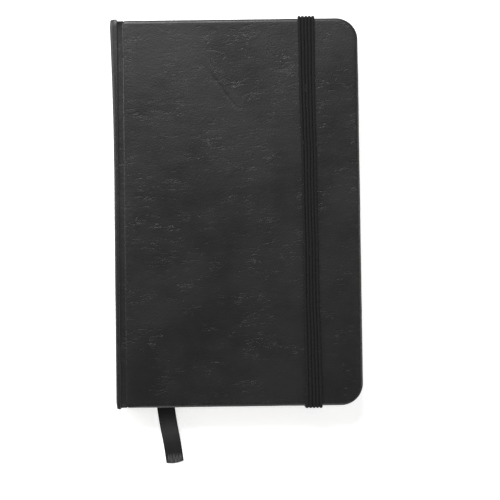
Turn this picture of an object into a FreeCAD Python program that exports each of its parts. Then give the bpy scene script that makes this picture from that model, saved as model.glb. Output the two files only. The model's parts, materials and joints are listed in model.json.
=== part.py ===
"""Pocket notebook, closed, lying on its back cover: +X to the fore edge, +Y to the head, +Z up.

The case is two boards and a spine card under one leatherette wrap. The block is sewn
signatures, held to the case by its endpapers. An elastic band closes it, and a ribbon
marks the place. The origin is on the back cover's outer face, at the middle of the covers.
Sizes are in millimetres.
"""

import FreeCAD
import Part
import math
import os

Vector = FreeCAD.Vector

# The case.
COVER_HEIGHT = 141.0
COVER_WIDTH = 89.5
CORNER_RADIUS = 8.0
HINGE_CORNER_RADIUS = 1.5
BOARD_THICKNESS = 1.7
WRAP_THICKNESS = 0.35
EDGE_ROUND = 0.8
TURN_IN_WIDTH = 13.0
SPINE_CARD_THICKNESS = 1.2
SHOULDER_RADIUS = 1.2
JOINT_WIDTH = 1.85
JOINT_DEPTH = 1.0
CAP_OVERHANG = 0.5

# The block.
LEAF_THICKNESS = 0.095
LEAVES_PER_SIGNATURE = 8
SIGNATURES_PER_HALF = 5
SIGNATURE_GAP = 0.03
SQUARE = 3.0
PAGE_CORNER_RADIUS = 6.0
FOLD_ROUND = 0.3
HOLLOW_GAP = 0.85
LINING_THICKNESS = 0.2
LINING_END_MARGIN = 6.0
ENDPAPER_THICKNESS = 0.12
PASTEDOWN_MARGIN = 3.0
THREAD_SIZE = 0.24
THREAD_INSET = 0.3
STITCH_LENGTH = 22.0
STITCH_PITCH = 40.0
STITCH_COUNT = 3

# The ribbon marker.
RIBBON_WIDTH = 6.5
RIBBON_THICKNESS = 0.25
RIBBON_EXIT = 17.5
RIBBON_LEAN = 7.4
RIBBON_REACH = 21.6
RIBBON_HINGE_GAP = 0.8
RIBBON_LYING_LENGTH = 2.0
RIBBON_GUTTER_GAP = 0.4
RIBBON_HEAD_GAP = 1.0
FLOOR_GAP = 0.05

# The elastic band.
BAND_THICKNESS = 0.8
BAND_END_WIDTH = 6.2
BAND_WAIST_WIDTH = 5.5
BAND_GAP = 0.05
BAND_TO_FORE_EDGE_HEAD = 18.9
BAND_TO_FORE_EDGE_TAIL = 17.9
BAND_ANCHOR_LENGTH = 14.0
BAND_CORNER_ROUND = 0.5

# Across the book, from the spine's outer face to the fore edge.
SPINE_X = -COVER_WIDTH / 2
FORE_X = COVER_WIDTH / 2
CARD_INNER_X = SPINE_X + WRAP_THICKNESS + SPINE_CARD_THICKNESS
COVER_X = CARD_INNER_X + JOINT_WIDTH
LINING_X = CARD_INNER_X + HOLLOW_GAP
BLOCK_X = LINING_X + LINING_THICKNESS
BLOCK_FORE_X = FORE_X - SQUARE

# Along the book, from its middle.
COVER_Y = COVER_HEIGHT / 2
BLOCK_Y = COVER_Y - SQUARE
CAP_Y = COVER_Y + CAP_OVERHANG

# Up through the book, from the back cover's outer face.
COVER_THICKNESS = BOARD_THICKNESS + 2 * WRAP_THICKNESS
FLYLEAF_Z = COVER_THICKNESS + ENDPAPER_THICKNESS
BLOCK_Z = FLYLEAF_Z + ENDPAPER_THICKNESS
SIGNATURE_PITCH = LEAF_THICKNESS * LEAVES_PER_SIGNATURE + SIGNATURE_GAP
HALF_HEIGHT = SIGNATURES_PER_HALF * SIGNATURE_PITCH - SIGNATURE_GAP - LEAF_THICKNESS
RIBBON_Z = BLOCK_Z + HALF_HEIGHT + SIGNATURE_GAP
LOWER_LEAF_Z = RIBBON_Z + RIBBON_THICKNESS + SIGNATURE_GAP
UPPER_LEAF_Z = LOWER_LEAF_Z + LEAF_THICKNESS + SIGNATURE_GAP
UPPER_HALF_Z = UPPER_LEAF_Z + LEAF_THICKNESS + SIGNATURE_GAP
BOOK_THICKNESS = UPPER_HALF_Z + HALF_HEIGHT + BLOCK_Z

# The band's middle line, and the level where it leaves the back cover.
BAND_HEAD_X = FORE_X - BAND_TO_FORE_EDGE_HEAD
BAND_TAIL_X = FORE_X - BAND_TO_FORE_EDGE_TAIL
BAND_ANCHOR_X = (BAND_HEAD_X + BAND_TAIL_X) / 2
BAND_ANCHOR_Z = COVER_THICKNESS - BAND_THICKNESS
BAND_INNER_Y = COVER_Y + BAND_GAP
BAND_OUTER_Y = BAND_INNER_Y + BAND_THICKNESS
BAND_INNER_Z = BOOK_THICKNESS + BAND_GAP
BAND_OUTER_Z = BAND_INNER_Z + BAND_THICKNESS


def box(x0, x1, y0, y1, z0, z1):
    """A plain block between two corners."""
    return Part.makeBox(x1 - x0, y1 - y0, z1 - z0, Vector(x0, y0, z0))


def plate(x0, x1, half_height, fore_radius, hinge_radius, z0, z1):
    """A flat plate with rounded corners, larger at the fore edge than at the hinge side."""
    blank = box(x0, x1, -half_height, half_height, z0, z1)
    for x, radius in ((x0, hinge_radius), (x1, fore_radius)):
        if radius > 0:
            blank = blank.makeFillet(radius, upright_edges_at(blank, x))
    return blank


def upright_edges_at(shape, x):
    """The edges that run straight up at one x."""
    return [e for e in shape.Edges if is_upright(e) and abs(e.Vertexes[0].X - x) < 1e-6]


def is_upright(edge):
    """Whether an edge is a straight line along Z."""
    first, last = edge.Vertexes[0].Point, edge.Vertexes[-1].Point
    return math.hypot(last.x - first.x, last.y - first.y) < 1e-6


def level_edges(shape):
    """The edges that lie in the shape's lowest or highest plane."""
    low, high = shape.BoundBox.ZMin, shape.BoundBox.ZMax
    return [
        e for e in shape.Edges
        if e.BoundBox.ZLength < 1e-6 and min(abs(e.BoundBox.ZMin - low), abs(e.BoundBox.ZMin - high)) < 1e-6
    ]


def prism(points, thickness):
    """A straight-sided outline, given as vectors, made thick along one vector."""
    return Part.Face(Part.makePolygon(points + points[:1])).extrude(thickness)


def turned_over(shape):
    """The same piece for the other cover: its mirror image about the book's middle plane."""
    return shape.mirror(Vector(0, 0, BOOK_THICKNESS / 2), Vector(0, 0, 1))


def rounded_cover(inset):
    """A cover's envelope, inset on every side: at 0 the wrap's outside, else the board."""
    blank = plate(
        COVER_X + inset, FORE_X - inset, COVER_Y - inset,
        CORNER_RADIUS - inset, HINGE_CORNER_RADIUS - inset,
        inset, COVER_THICKNESS - inset,
    )
    return blank.makeFillet(EDGE_ROUND - inset, level_edges(blank))


def turn_in_window(z0, z1, shrink):
    """The opening that the wrap's turned-in edges leave on a cover's inner face."""
    return plate(
        COVER_X + WRAP_THICKNESS + shrink, FORE_X - TURN_IN_WIDTH - shrink,
        COVER_Y - TURN_IN_WIDTH - shrink, 0, 0, z0, z1,
    )


def cover_board():
    """The stiff board of the back cover."""
    return rounded_cover(WRAP_THICKNESS)


def cover_wrap():
    """Leatherette round the back board, with its edges turned in on the inner face."""
    inner_face = COVER_THICKNESS - WRAP_THICKNESS
    return rounded_cover(0).cut([cover_board(), turn_in_window(inner_face, COVER_THICKNESS, 0)])


def pastedown():
    """The endpaper's glued half: it lies on the turned-in edges and dips inside them."""
    board_face = COVER_THICKNESS - WRAP_THICKNESS
    sheet = plate(
        BLOCK_X, FORE_X - PASTEDOWN_MARGIN, COVER_Y - PASTEDOWN_MARGIN,
        PAGE_CORNER_RADIUS, 0, COVER_THICKNESS, FLYLEAF_Z,
    )
    dip = turn_in_window(board_face, FLYLEAF_Z, 0)
    hollow = turn_in_window(board_face + ENDPAPER_THICKNESS, FLYLEAF_Z, ENDPAPER_THICKNESS)
    return sheet.fuse(dip).cut(hollow).removeSplitter()


def flyleaf():
    """The endpaper's free half, tipped to the first signature."""
    return plate(BLOCK_X, BLOCK_FORE_X, BLOCK_Y, PAGE_CORNER_RADIUS, 0, FLYLEAF_Z, BLOCK_Z)


def spine_section(inset):
    """The spine's section at one inset, rounded at both shoulders, open towards the block."""
    x0, x1 = SPINE_X + inset, CARD_INNER_X
    blank = box(x0, x1, inset - CAP_Y, CAP_Y - inset, inset, BOOK_THICKNESS - inset)
    shoulders = [
        e for e in blank.Edges
        if e.BoundBox.YLength > 1 and abs(e.BoundBox.XMin - x0) < 1e-6
    ]
    return blank.makeFillet(SHOULDER_RADIUS - inset, shoulders)


def spine_card():
    """The card that stiffens the spine."""
    return spine_section(WRAP_THICKNESS)


def spine_wrap():
    """Leatherette round the spine card, turned in at the head and the tail."""
    return spine_section(0).cut(spine_card())


def joint():
    """The flexible strip of leatherette at the bottom of the back joint's groove."""
    return box(CARD_INNER_X, COVER_X, -CAP_Y, CAP_Y, JOINT_DEPTH, JOINT_DEPTH + WRAP_THICKNESS)


def spine_lining():
    """The strip glued along the folds of all the signatures."""
    y = BLOCK_Y - LINING_END_MARGIN
    return box(LINING_X, BLOCK_X, -y, y, BLOCK_Z, BOOK_THICKNESS - BLOCK_Z)


def page_stack(z, leaves):
    """Some leaves lying together as one plate."""
    return plate(
        BLOCK_X, BLOCK_FORE_X, BLOCK_Y, PAGE_CORNER_RADIUS, 0, z, z + leaves * LEAF_THICKNESS,
    )


def signature_levels(number):
    """The underside of a signature, counted from 1 at the back cover, and its leaves.

    The two at the middle of the block lack one leaf each: these are the turning leaves.
    """
    step = number - 1
    leaves = LEAVES_PER_SIGNATURE
    if number in (SIGNATURES_PER_HALF, SIGNATURES_PER_HALF + 1):
        leaves -= 1
    if number <= SIGNATURES_PER_HALF:
        return BLOCK_Z + step * SIGNATURE_PITCH, leaves
    steps_down = 2 * SIGNATURES_PER_HALF - number
    return BOOK_THICKNESS - BLOCK_Z - steps_down * SIGNATURE_PITCH - leaves * LEAF_THICKNESS, leaves


def signature_blank(z, leaves):
    """The folded leaves of one signature, with the fold's edges rounded."""
    stack = page_stack(z, leaves)
    folds = [e for e in level_edges(stack) if e.BoundBox.XMax - BLOCK_X < 1e-6]
    return stack.makeFillet(FOLD_ROUND, folds)


def stitch(y, z):
    """One stitch: a run inside the fold, with both ends out through the fold."""
    half = THREAD_SIZE / 2
    run_x = BLOCK_X + THREAD_INSET
    y0, y1 = y - STITCH_LENGTH / 2, y + STITCH_LENGTH / 2
    run = box(run_x, run_x + THREAD_SIZE, y0, y1, z - half, z + half)
    ends = [
        box(BLOCK_X, run_x, y0, y0 + THREAD_SIZE, z - half, z + half),
        box(BLOCK_X, run_x, y1 - THREAD_SIZE, y1, z - half, z + half),
    ]
    return run.fuse(ends).removeSplitter()


def signature_and_thread(number):
    """One signature with the slots that its thread runs in, and that thread."""
    z, leaves = signature_levels(number)
    blank = signature_blank(z, leaves)
    first = -STITCH_PITCH * (STITCH_COUNT - 1) / 2
    middle = z + leaves * LEAF_THICKNESS / 2
    stitches = [stitch(first + i * STITCH_PITCH, middle).common(blank) for i in range(STITCH_COUNT)]
    return blank.cut(stitches), Part.makeCompound(stitches)


def ribbon_line_x(y):
    """The middle of the leaning ribbon at one y."""
    return SPINE_X + RIBBON_EXIT - math.tan(math.radians(RIBBON_LEAN)) * (y + COVER_Y)


def ribbon_hinge():
    """Where the ribbon bends, just past the covers' tail edge, on its upper face."""
    y = -(COVER_Y + RIBBON_HINGE_GAP)
    return Vector(ribbon_line_x(y), y, RIBBON_Z + RIBBON_THICKNESS)


def ribbon_marker():
    """The ribbon between the pages: down the gutter, then leaning out to the tail."""
    lean = math.radians(RIBBON_LEAN)
    half = RIBBON_WIDTH / 2
    gutter_x = BLOCK_X + RIBBON_GUTTER_GAP + half
    turn_y = -COVER_Y + (SPINE_X + RIBBON_EXIT - gutter_x) / math.tan(lean)
    mitre = half * math.tan(lean / 2)
    end = ribbon_hinge()
    across = Vector(math.cos(lean), math.sin(lean), 0) * half
    outline = [
        Vector(gutter_x - half, BLOCK_Y - RIBBON_HEAD_GAP, RIBBON_Z),
        Vector(gutter_x - half, turn_y - mitre, RIBBON_Z),
        Vector(end.x - across.x, end.y - across.y, RIBBON_Z),
        Vector(end.x + across.x, end.y + across.y, RIBBON_Z),
        Vector(gutter_x + half, turn_y + mitre, RIBBON_Z),
        Vector(gutter_x + half, BLOCK_Y - RIBBON_HEAD_GAP, RIBBON_Z),
    ]
    return prism(outline, Vector(0, 0, RIBBON_THICKNESS))


def ribbon_tail():
    """The ribbon's free end: two equal bends take it down to lie on the ground."""
    hinge = ribbon_hinge()
    drop = hinge.z - RIBBON_THICKNESS - FLOOR_GAP
    run = RIBBON_REACH - RIBBON_HINGE_GAP - RIBBON_LYING_LENGTH
    turn = 2 * math.atan(drop / run)
    radius = run / (2 * math.sin(turn))
    upper_centre = Vector(0, 0, -radius)
    lower_centre = Vector(0, -run, radius - drop)
    upper = ribbon_bend(upper_centre, radius, turn, 1)
    lower = ribbon_bend(lower_centre, radius, turn, -1)
    half = RIBBON_WIDTH / 2
    level = -drop - RIBBON_THICKNESS
    flat = box(-half, half, -run - RIBBON_LYING_LENGTH, -run, level, -drop)
    tail = upper.fuse([lower, flat]).removeSplitter()
    tail.rotate(Vector(0, 0, 0), Vector(0, 0, 1), RIBBON_LEAN)
    tail.translate(hinge)
    return tail


def ribbon_bend(centre, radius, turn, side):
    """One bend: an arc of ribbon over (side 1) or under (side -1) its centre of curvature."""
    outer = radius if side > 0 else radius + RIBBON_THICKNESS
    inner = outer - RIBBON_THICKNESS
    corners = []
    for r, angle in ((inner, 0), (inner, turn), (outer, turn), (outer, 0)):
        corners.append(bend_point(centre, r, angle, side))
    edges = [
        Part.Arc(corners[0], bend_point(centre, inner, turn / 2, side), corners[1]).toShape(),
        Part.makeLine(corners[1], corners[2]),
        Part.Arc(corners[2], bend_point(centre, outer, turn / 2, side), corners[3]).toShape(),
        Part.makeLine(corners[3], corners[0]),
    ]
    strip = Part.Face(Part.Wire(edges)).extrude(Vector(RIBBON_WIDTH, 0, 0))
    strip.translate(Vector(-RIBBON_WIDTH / 2, 0, 0))
    return strip


def bend_point(centre, radius, angle, side):
    """A point on a bend: side 1 turns down away from the top, side -1 up from the bottom."""
    return centre + Vector(0, -side * radius * math.sin(angle), side * radius * math.cos(angle))


def band_anchor(side):
    """The band's end, let into the back cover under the pastedown. side is 1 at the head."""
    half = BAND_END_WIDTH / 2
    y0, y1 = COVER_Y - BAND_ANCHOR_LENGTH, BAND_OUTER_Y
    if side < 0:
        y0, y1 = -y1, -y0
    return box(BAND_ANCHOR_X - half, BAND_ANCHOR_X + half, y0, y1, BAND_ANCHOR_Z, COVER_THICKNESS)


def band_leg(side):
    """The band's run up past the covers' edge, from its anchor to the strand."""
    half = BAND_END_WIDTH / 2
    top_x = BAND_HEAD_X if side > 0 else BAND_TAIL_X
    y = BAND_INNER_Y if side > 0 else -BAND_OUTER_Y
    outline = [
        Vector(BAND_ANCHOR_X - half, y, COVER_THICKNESS),
        Vector(BAND_ANCHOR_X + half, y, COVER_THICKNESS),
        Vector(top_x + half, y, BAND_OUTER_Z),
        Vector(top_x - half, y, BAND_OUTER_Z),
    ]
    leg = prism(outline, Vector(0, BAND_THICKNESS, 0))
    outer_y = BAND_OUTER_Y * side
    crown = [
        e for e in leg.Edges
        if abs(e.BoundBox.ZMin - BAND_OUTER_Z) < 1e-6 and abs(e.Vertexes[0].Y - outer_y) < 1e-6
        and e.BoundBox.YLength < 1e-6
    ]
    return leg.makeFillet(BAND_CORNER_ROUND, crown)


def band_strand():
    """The band's run across the front cover, drawn in at its waist by the pull."""
    edges = []
    corners = []
    for side in (-1, 1):
        head = Vector(BAND_HEAD_X + side * BAND_END_WIDTH / 2, BAND_INNER_Y, BAND_INNER_Z)
        waist = Vector(BAND_ANCHOR_X + side * BAND_WAIST_WIDTH / 2, 0, BAND_INNER_Z)
        tail = Vector(BAND_TAIL_X + side * BAND_END_WIDTH / 2, -BAND_INNER_Y, BAND_INNER_Z)
        edges.append(Part.Arc(head, waist, tail).toShape())
        corners.append((head, tail))
    edges.append(Part.makeLine(corners[0][0], corners[1][0]))
    edges.append(Part.makeLine(corners[0][1], corners[1][1]))
    outline = Part.Wire(Part.__sortEdges__(edges))
    return Part.Face(outline).extrude(Vector(0, 0, BAND_THICKNESS))


def case_pieces():
    """Boards, wraps, joints, spine and endpapers."""
    anchors = [band_anchor(1), band_anchor(-1)]
    return {
        "back_board": cover_board().cut(anchors),
        "back_cover_wrap": cover_wrap().cut(anchors),
        "back_pastedown": pastedown().cut(anchors),
        "back_flyleaf": flyleaf(),
        "back_joint": joint(),
        "front_board": turned_over(cover_board()),
        "front_cover_wrap": turned_over(cover_wrap()),
        "front_pastedown": turned_over(pastedown()),
        "front_flyleaf": turned_over(flyleaf()),
        "front_joint": turned_over(joint()),
        "spine_card": spine_card(),
        "spine_wrap": spine_wrap(),
    }


def block_pieces():
    """Signatures, their threads, the two turning leaves and the lining along the folds."""
    pieces = {
        "spine_lining": spine_lining(),
        "turning_leaf_lower": page_stack(LOWER_LEAF_Z, 1),
        "turning_leaf_upper": page_stack(UPPER_LEAF_Z, 1),
    }
    for number in range(1, 2 * SIGNATURES_PER_HALF + 1):
        signature, thread = signature_and_thread(number)
        pieces[f"signature_{number:02d}"] = signature
        pieces[f"sewing_thread_{number:02d}"] = thread
    return pieces


def closure_and_marker_pieces():
    """The elastic band and the ribbon."""
    return {
        "elastic_head_anchor": band_anchor(1),
        "elastic_tail_anchor": band_anchor(-1),
        "elastic_head_leg": band_leg(1),
        "elastic_tail_leg": band_leg(-1),
        "elastic_strand": band_strand(),
        "ribbon_marker": ribbon_marker(),
        "ribbon_tail": ribbon_tail(),
    }


def main():
    os.makedirs("parts", exist_ok=True)
    for pieces in (case_pieces(), block_pieces(), closure_and_marker_pieces()):
        for node, shape in pieces.items():
            if not shape.isValid() or shape.Volume <= 0:
                raise ValueError(f"{node} is not a sound solid")
            shape.exportStep(f"parts/{node}.step")
            print(f"{node}: {len(shape.Solids)} solid, {shape.Volume:.1f} mm3")
    print(f"thickness {BOOK_THICKNESS:.4f}, leaf levels {LOWER_LEAF_Z:.4f} {UPPER_LEAF_Z:.4f}")
    print(f"ribbon hinge {ribbon_hinge()}")


main()
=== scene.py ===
"""Looks of a pocket notebook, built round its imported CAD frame.

The notebook lies closed on its back cover: +X to the fore edge, +Y to the head, +Z up.
Every length is in metres. Each operator makes one piece or one group of like pieces.
"""

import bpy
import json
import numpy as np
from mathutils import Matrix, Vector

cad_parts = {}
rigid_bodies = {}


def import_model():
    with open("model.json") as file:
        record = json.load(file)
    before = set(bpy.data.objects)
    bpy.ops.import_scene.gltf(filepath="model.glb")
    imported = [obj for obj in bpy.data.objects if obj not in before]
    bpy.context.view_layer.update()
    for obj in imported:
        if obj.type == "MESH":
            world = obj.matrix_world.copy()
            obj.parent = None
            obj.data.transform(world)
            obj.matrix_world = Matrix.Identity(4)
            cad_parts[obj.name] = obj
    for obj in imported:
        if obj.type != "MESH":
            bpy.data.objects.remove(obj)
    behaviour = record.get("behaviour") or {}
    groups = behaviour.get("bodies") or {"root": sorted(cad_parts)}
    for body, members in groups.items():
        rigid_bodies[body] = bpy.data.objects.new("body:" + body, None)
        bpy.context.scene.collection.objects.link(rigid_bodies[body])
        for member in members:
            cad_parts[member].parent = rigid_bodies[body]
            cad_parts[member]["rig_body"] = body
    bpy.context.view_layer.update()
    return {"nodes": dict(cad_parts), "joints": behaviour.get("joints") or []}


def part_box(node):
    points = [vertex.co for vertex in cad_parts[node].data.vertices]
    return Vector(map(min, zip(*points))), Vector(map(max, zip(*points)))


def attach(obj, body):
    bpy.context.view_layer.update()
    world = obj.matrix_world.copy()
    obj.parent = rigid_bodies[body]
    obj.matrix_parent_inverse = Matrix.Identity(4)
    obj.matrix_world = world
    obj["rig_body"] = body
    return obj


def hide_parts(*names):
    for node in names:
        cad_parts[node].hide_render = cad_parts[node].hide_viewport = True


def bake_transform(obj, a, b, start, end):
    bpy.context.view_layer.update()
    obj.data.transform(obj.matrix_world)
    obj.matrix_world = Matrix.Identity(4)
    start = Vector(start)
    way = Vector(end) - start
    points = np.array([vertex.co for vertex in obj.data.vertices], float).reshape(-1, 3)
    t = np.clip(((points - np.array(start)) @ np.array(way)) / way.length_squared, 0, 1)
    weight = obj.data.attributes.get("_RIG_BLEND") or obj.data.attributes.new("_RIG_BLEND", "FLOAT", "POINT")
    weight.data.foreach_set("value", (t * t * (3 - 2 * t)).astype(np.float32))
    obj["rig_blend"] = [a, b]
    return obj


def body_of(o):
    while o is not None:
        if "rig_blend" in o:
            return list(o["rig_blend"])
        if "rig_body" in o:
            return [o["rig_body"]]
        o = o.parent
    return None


bl_info = {
    "name": "Pocket Notebook",
    "version": (1, 0, 0),
    "blender": (4, 5, 0),
    "location": "3D View > Sidebar > Notebook",
    "description": "Leatherette case, sewn leaves, elastic band and ribbon marker of a pocket notebook",
    "category": "Object",
}

import json
import math

import bmesh
import bpy
import numpy as np
from mathutils import Matrix, Vector, noise

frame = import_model()

MM = 0.001
SKIN_GAP = 0.02 * MM  # keeps a skin just inside the room its piece has
LEAF_FILL = 0.92  # share of a leaf's pitch that its paper fills
LEG_OVERLAP = 0.65 * MM  # how far each leg of the band runs up inside the strand's bend
BASE_GAP = 0.04 * MM  # how far the floor lies under the book

# Places read from the frame.
COVER_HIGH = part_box("front_cover_wrap")[1]
SPINE_LOW, SPINE_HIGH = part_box("spine_wrap")
CARD_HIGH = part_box("spine_card")[1]
LINING_LOW, LINING_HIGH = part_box("spine_lining")
STRAND_LOW, STRAND_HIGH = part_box("elastic_strand")
LEG_LOW, LEG_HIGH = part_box("elastic_head_leg")
TAIL_LEG_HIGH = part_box("elastic_tail_leg")[1]
ANCHOR_LOW, ANCHOR_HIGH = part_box("elastic_head_anchor")
MARKER_LOW, MARKER_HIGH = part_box("ribbon_marker")
TAIL_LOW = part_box("ribbon_tail")[0]
BLOCK_LOW, BLOCK_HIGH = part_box("signature_01")
BOOK_TOP = SPINE_HIGH.z
HALF_COVER = COVER_HIGH.y
HALF_BLOCK = BLOCK_HIGH.y


# ---------------------------------------------------------------- meshes


def make_piece(name, points, faces, material, smooth=True):
    """A mesh object in the scene, with its faces pointing outwards."""
    mesh = bpy.data.meshes.new(name)
    mesh.from_pydata([tuple(p) for p in points], [], [tuple(f) for f in faces])
    tidy_mesh(mesh)
    mesh.materials.append(material)
    mesh.shade_smooth() if smooth else mesh.shade_flat()
    piece = bpy.data.objects.new(name, mesh)
    bpy.context.scene.collection.objects.link(piece)
    return piece


def tidy_mesh(mesh, distance=1e-6):
    """Merges doubled points and turns the normals outwards."""
    work = bmesh.new()
    work.from_mesh(mesh)
    bmesh.ops.remove_doubles(work, verts=work.verts, dist=distance)
    bmesh.ops.recalc_face_normals(work, faces=work.faces)
    work.to_mesh(mesh)
    work.free()


def loft(rings):
    """Points and faces of a closed skin over rings of equal length, with both ends filled."""
    rings = np.asarray(rings, float)
    count, around = rings.shape[:2]
    faces = []
    for i in range(count - 1):
        low, high = i * around, (i + 1) * around
        faces += [(low + j, low + (j + 1) % around, high + (j + 1) % around, high + j) for j in range(around)]
    faces.append(tuple(range(around)))
    faces.append(tuple((count - 1) * around + j for j in reversed(range(around))))
    return rings.reshape(-1, 3), faces


def loft_piece(name, rings, material, uv=None, smooth=True, sharp=40):
    """A lofted piece. uv gives each ring point its place across and along the cloth."""
    points, faces = loft(rings)
    piece = make_piece(name, points, faces, material, smooth)
    if uv is not None:
        write_uv(piece.data, np.asarray(rings).reshape(-1, 3), np.asarray(uv).reshape(-1, 2))
    if smooth:
        sharpen(piece.data, sharp)
    return piece


def write_uv(mesh, points, places):
    """Stores places as the UV map, matched to the mesh's own points."""
    layer = mesh.uv_layers.new(name="Cloth")
    index = {tuple(np.round(p, 7)): i for i, p in enumerate(points)}
    for loop in mesh.loops:
        key = tuple(np.round(np.array(mesh.vertices[loop.vertex_index].co, float), 7))
        if key in index:
            layer.data[loop.index].uv = places[index[key]]


def sharpen(mesh, degrees):
    """Marks the edges that are sharper than an angle, so smooth shading stops at them."""
    mesh.set_sharp_from_angle(angle=math.radians(degrees))


def join_meshes(name, parts, material):
    """One piece from several lists of points and faces."""
    points, faces = [], []
    for part_points, part_faces in parts:
        faces += [tuple(k + len(points) for k in f) for f in part_faces]
        points += [tuple(p) for p in part_points]
    return make_piece(name, points, faces, material)


def finished(piece):
    """The piece with its modifiers turned into plain mesh."""
    bpy.context.view_layer.update()
    graph = bpy.context.evaluated_depsgraph_get()
    mesh = bpy.data.meshes.new_from_object(piece.evaluated_get(graph), depsgraph=graph)
    mesh.name = piece.name
    old = piece.data
    piece.modifiers.clear()
    piece.data = mesh
    bpy.data.meshes.remove(old)
    return piece


def soft_noise(x, y, size, seed):
    """Smooth noise from -1 to 1 with features of one size."""
    return noise.noise(Vector((x / size, y / size, seed * 7.31)))


def smoothstep(t):
    """A ramp from 0 to 1 with level ends."""
    t = np.clip(t, 0.0, 1.0)
    return t * t * (3 - 2 * t)


# ---------------------------------------------------------------- node helpers


def add_node(tree, kind, inputs=None, **settings):
    """A node with its settings, its input values, and links from any sockets given."""
    node = tree.nodes.new(kind)
    for key, value in settings.items():
        setattr(node, key, value)
    for key, value in (inputs or {}).items():
        if isinstance(value, bpy.types.NodeSocket):
            tree.links.new(value, node.inputs[key])
        else:
            node.inputs[key].default_value = value
    return node


def math_node(tree, operation, *values):
    """The output of a Math node."""
    return add_node(tree, "ShaderNodeMath", dict(enumerate(values)), operation=operation).outputs[0]


def map_range(tree, value, low, high, to_low=0.0, to_high=1.0, smooth=True):
    """A value mapped from one range to another, held at the ends."""
    node = add_node(
        tree, "ShaderNodeMapRange",
        {"Value": value, "From Min": low, "From Max": high, "To Min": to_low, "To Max": to_high},
        interpolation_type="SMOOTHSTEP" if smooth else "LINEAR",
    )
    return node.outputs["Result"]


def stretched(tree, coordinates, scale, turn=(0, 0, 0)):
    """Coordinates turned and scaled by a Mapping node."""
    node = add_node(tree, "ShaderNodeMapping", {"Vector": coordinates, "Rotation": turn, "Scale": scale})
    return node.outputs["Vector"]


def noise_value(tree, coordinates, scale, detail=2.0, roughness=0.5, distortion=0.0):
    """The grey value of a noise texture."""
    node = add_node(
        tree, "ShaderNodeTexNoise",
        {"Vector": coordinates, "Scale": scale, "Detail": detail, "Roughness": roughness,
         "Distortion": distortion},
    )
    return node.outputs["Fac"]


def mix_colours(tree, factor, first, second):
    """Two colours mixed by a factor."""
    node = add_node(tree, "ShaderNodeMix", {0: factor, 6: first, 7: second}, data_type="RGBA")
    return node.outputs[2]


def new_group(name, inputs, outputs):
    """An empty shader group with its sockets, its input node and its output node."""
    tree = bpy.data.node_groups.new(name, "ShaderNodeTree")
    for label, kind, value in inputs:
        socket = tree.interface.new_socket(label, in_out="INPUT", socket_type=kind)
        if value is not None:
            socket.default_value = value
    for label, kind in outputs:
        tree.interface.new_socket(label, in_out="OUTPUT", socket_type=kind)
    return tree, tree.nodes.new("NodeGroupInput"), tree.nodes.new("NodeGroupOutput")


def use_group(tree, maker, inputs):
    """A shared group placed in a material. maker builds it the first time it is asked for."""
    name = maker.__name__
    group = bpy.data.node_groups.get(name) or maker(name)
    return add_node(tree, "ShaderNodeGroup", inputs, node_tree=group)


def new_material(name, colour, roughness, **constants):
    """A material with a Principled shader, its node tree and that shader."""
    material = bpy.data.materials.new(name)
    material.use_nodes = True
    tree = material.node_tree
    tree.nodes.clear()
    shader = add_node(tree, "ShaderNodeBsdfPrincipled")
    output = add_node(tree, "ShaderNodeOutputMaterial")
    tree.links.new(shader.outputs["BSDF"], output.inputs["Surface"])
    shader.inputs["Base Color"].default_value = (*colour, 1.0)
    shader.inputs["Roughness"].default_value = roughness
    for key, value in constants.items():
        shader.inputs[key.replace("_", " ")].default_value = value
    material.diffuse_color = (*colour, 1.0)
    return material, tree, shader


def bump(tree, shader, height, distance):
    """Feeds a height in metres per unit to the shader's normal."""
    node = add_node(tree, "ShaderNodeBump", {"Height": height, "Distance": distance, "Strength": 1.0})
    tree.links.new(node.outputs["Normal"], shader.inputs["Normal"])
    return node


def object_coordinates(tree):
    """The piece's own coordinates, in metres."""
    return add_node(tree, "ShaderNodeTexCoord").outputs["Object"]


# ---------------------------------------------------------------- shared effects


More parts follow.
